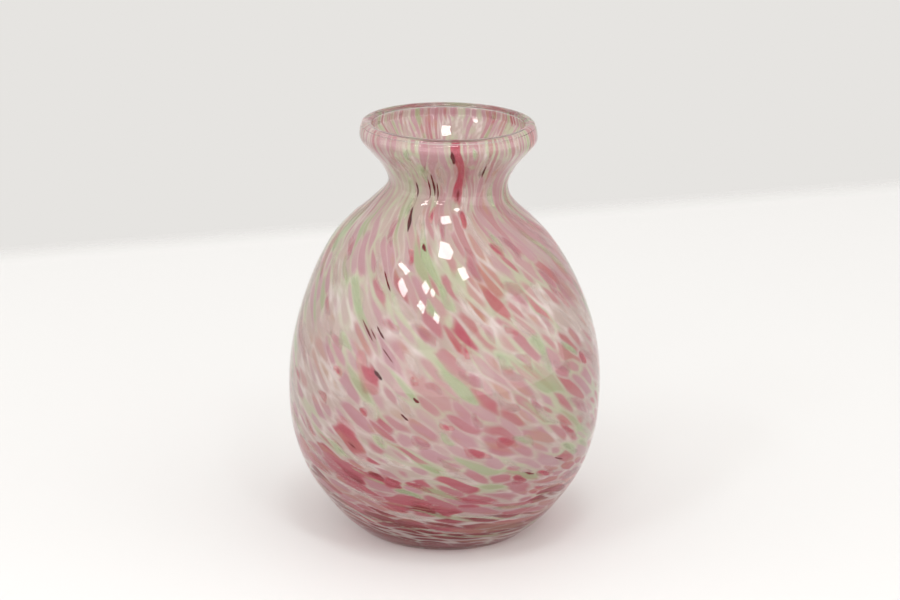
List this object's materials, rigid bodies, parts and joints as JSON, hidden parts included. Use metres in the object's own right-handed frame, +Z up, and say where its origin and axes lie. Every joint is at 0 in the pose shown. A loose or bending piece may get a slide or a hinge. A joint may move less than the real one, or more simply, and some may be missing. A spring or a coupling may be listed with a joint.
{
  "type": "hand blown art glass vase",
  "caption": "Egg-shaped blown glass vase with a short waisted neck and flared lip, cased in clear glass over twisted pink, ruby, green and white frit streaks.",
  "frame": {"origin": "centre of the base, at the level of the foot ring it stands on", "axes": "+Z up the axis the vase was turned on; -Y towards the side shown as the front"},
  "size_m": [0.1236, 0.1236, 0.166],
  "materials": {
    "clear_glass": "fire polished",
    "ruby_overlay": "transparent pink overlay, cased",
    "ruby_frit": "deep ruby frit, cased",
    "green_frit": "mint green frit, cased",
    "opal_frit": "opaque white frit, cased"
  },
  "bodies": {
    "root": {"green_streak_01": "green_frit", "green_streak_02": "green_frit", "green_streak_03": "green_frit", "green_streak_04": "green_frit", "green_streak_05": "green_frit", "green_streak_06": "green_frit", "green_streak_07": "green_frit", "green_streak_08": "green_frit", "green_streak_09": "green_frit", "green_streak_10": "green_frit", "green_streak_11": "green_frit", "green_streak_12": "green_frit", "green_streak_13": "green_frit", "green_streak_14": "green_frit", "green_streak_15": "green_frit", "green_streak_16": "green_frit", "inner_gather": "clear_glass", "lip_ring": "clear_glass", "opal_streak_01": "opal_frit", "opal_streak_02": "opal_frit", "opal_streak_03": "opal_frit", "opal_streak_04": "opal_frit", "opal_streak_05": "opal_frit", "opal_streak_06": "opal_frit", "opal_streak_07": "opal_frit", "opal_streak_08": "opal_frit", "opal_streak_09": "opal_frit", "opal_streak_10": "opal_frit", "opal_streak_11": "opal_frit", "opal_streak_12": "opal_frit", "opal_streak_13": "opal_frit", "opal_streak_14": "opal_frit", "opal_streak_15": "opal_frit", "outer_casing": "clear_glass", "ruby_chip_01": "ruby_frit", "ruby_chip_02": "ruby_frit", "ruby_chip_03": "ruby_frit", "ruby_chip_04": "ruby_frit", "ruby_chip_05": "ruby_frit", "ruby_chip_06": "ruby_frit", "ruby_chip_07": "ruby_frit", "ruby_chip_08": "ruby_frit", "ruby_chip_09": "ruby_frit", "ruby_chip_10": "ruby_frit", "ruby_chip_11": "ruby_frit", "ruby_chip_12": "ruby_frit", "ruby_chip_13": "ruby_frit", "ruby_chip_14": "ruby_frit", "ruby_chip_15": "ruby_frit", "ruby_chip_16": "ruby_frit", "ruby_overlay": "ruby_overlay"}
  },
  "joints": []
}
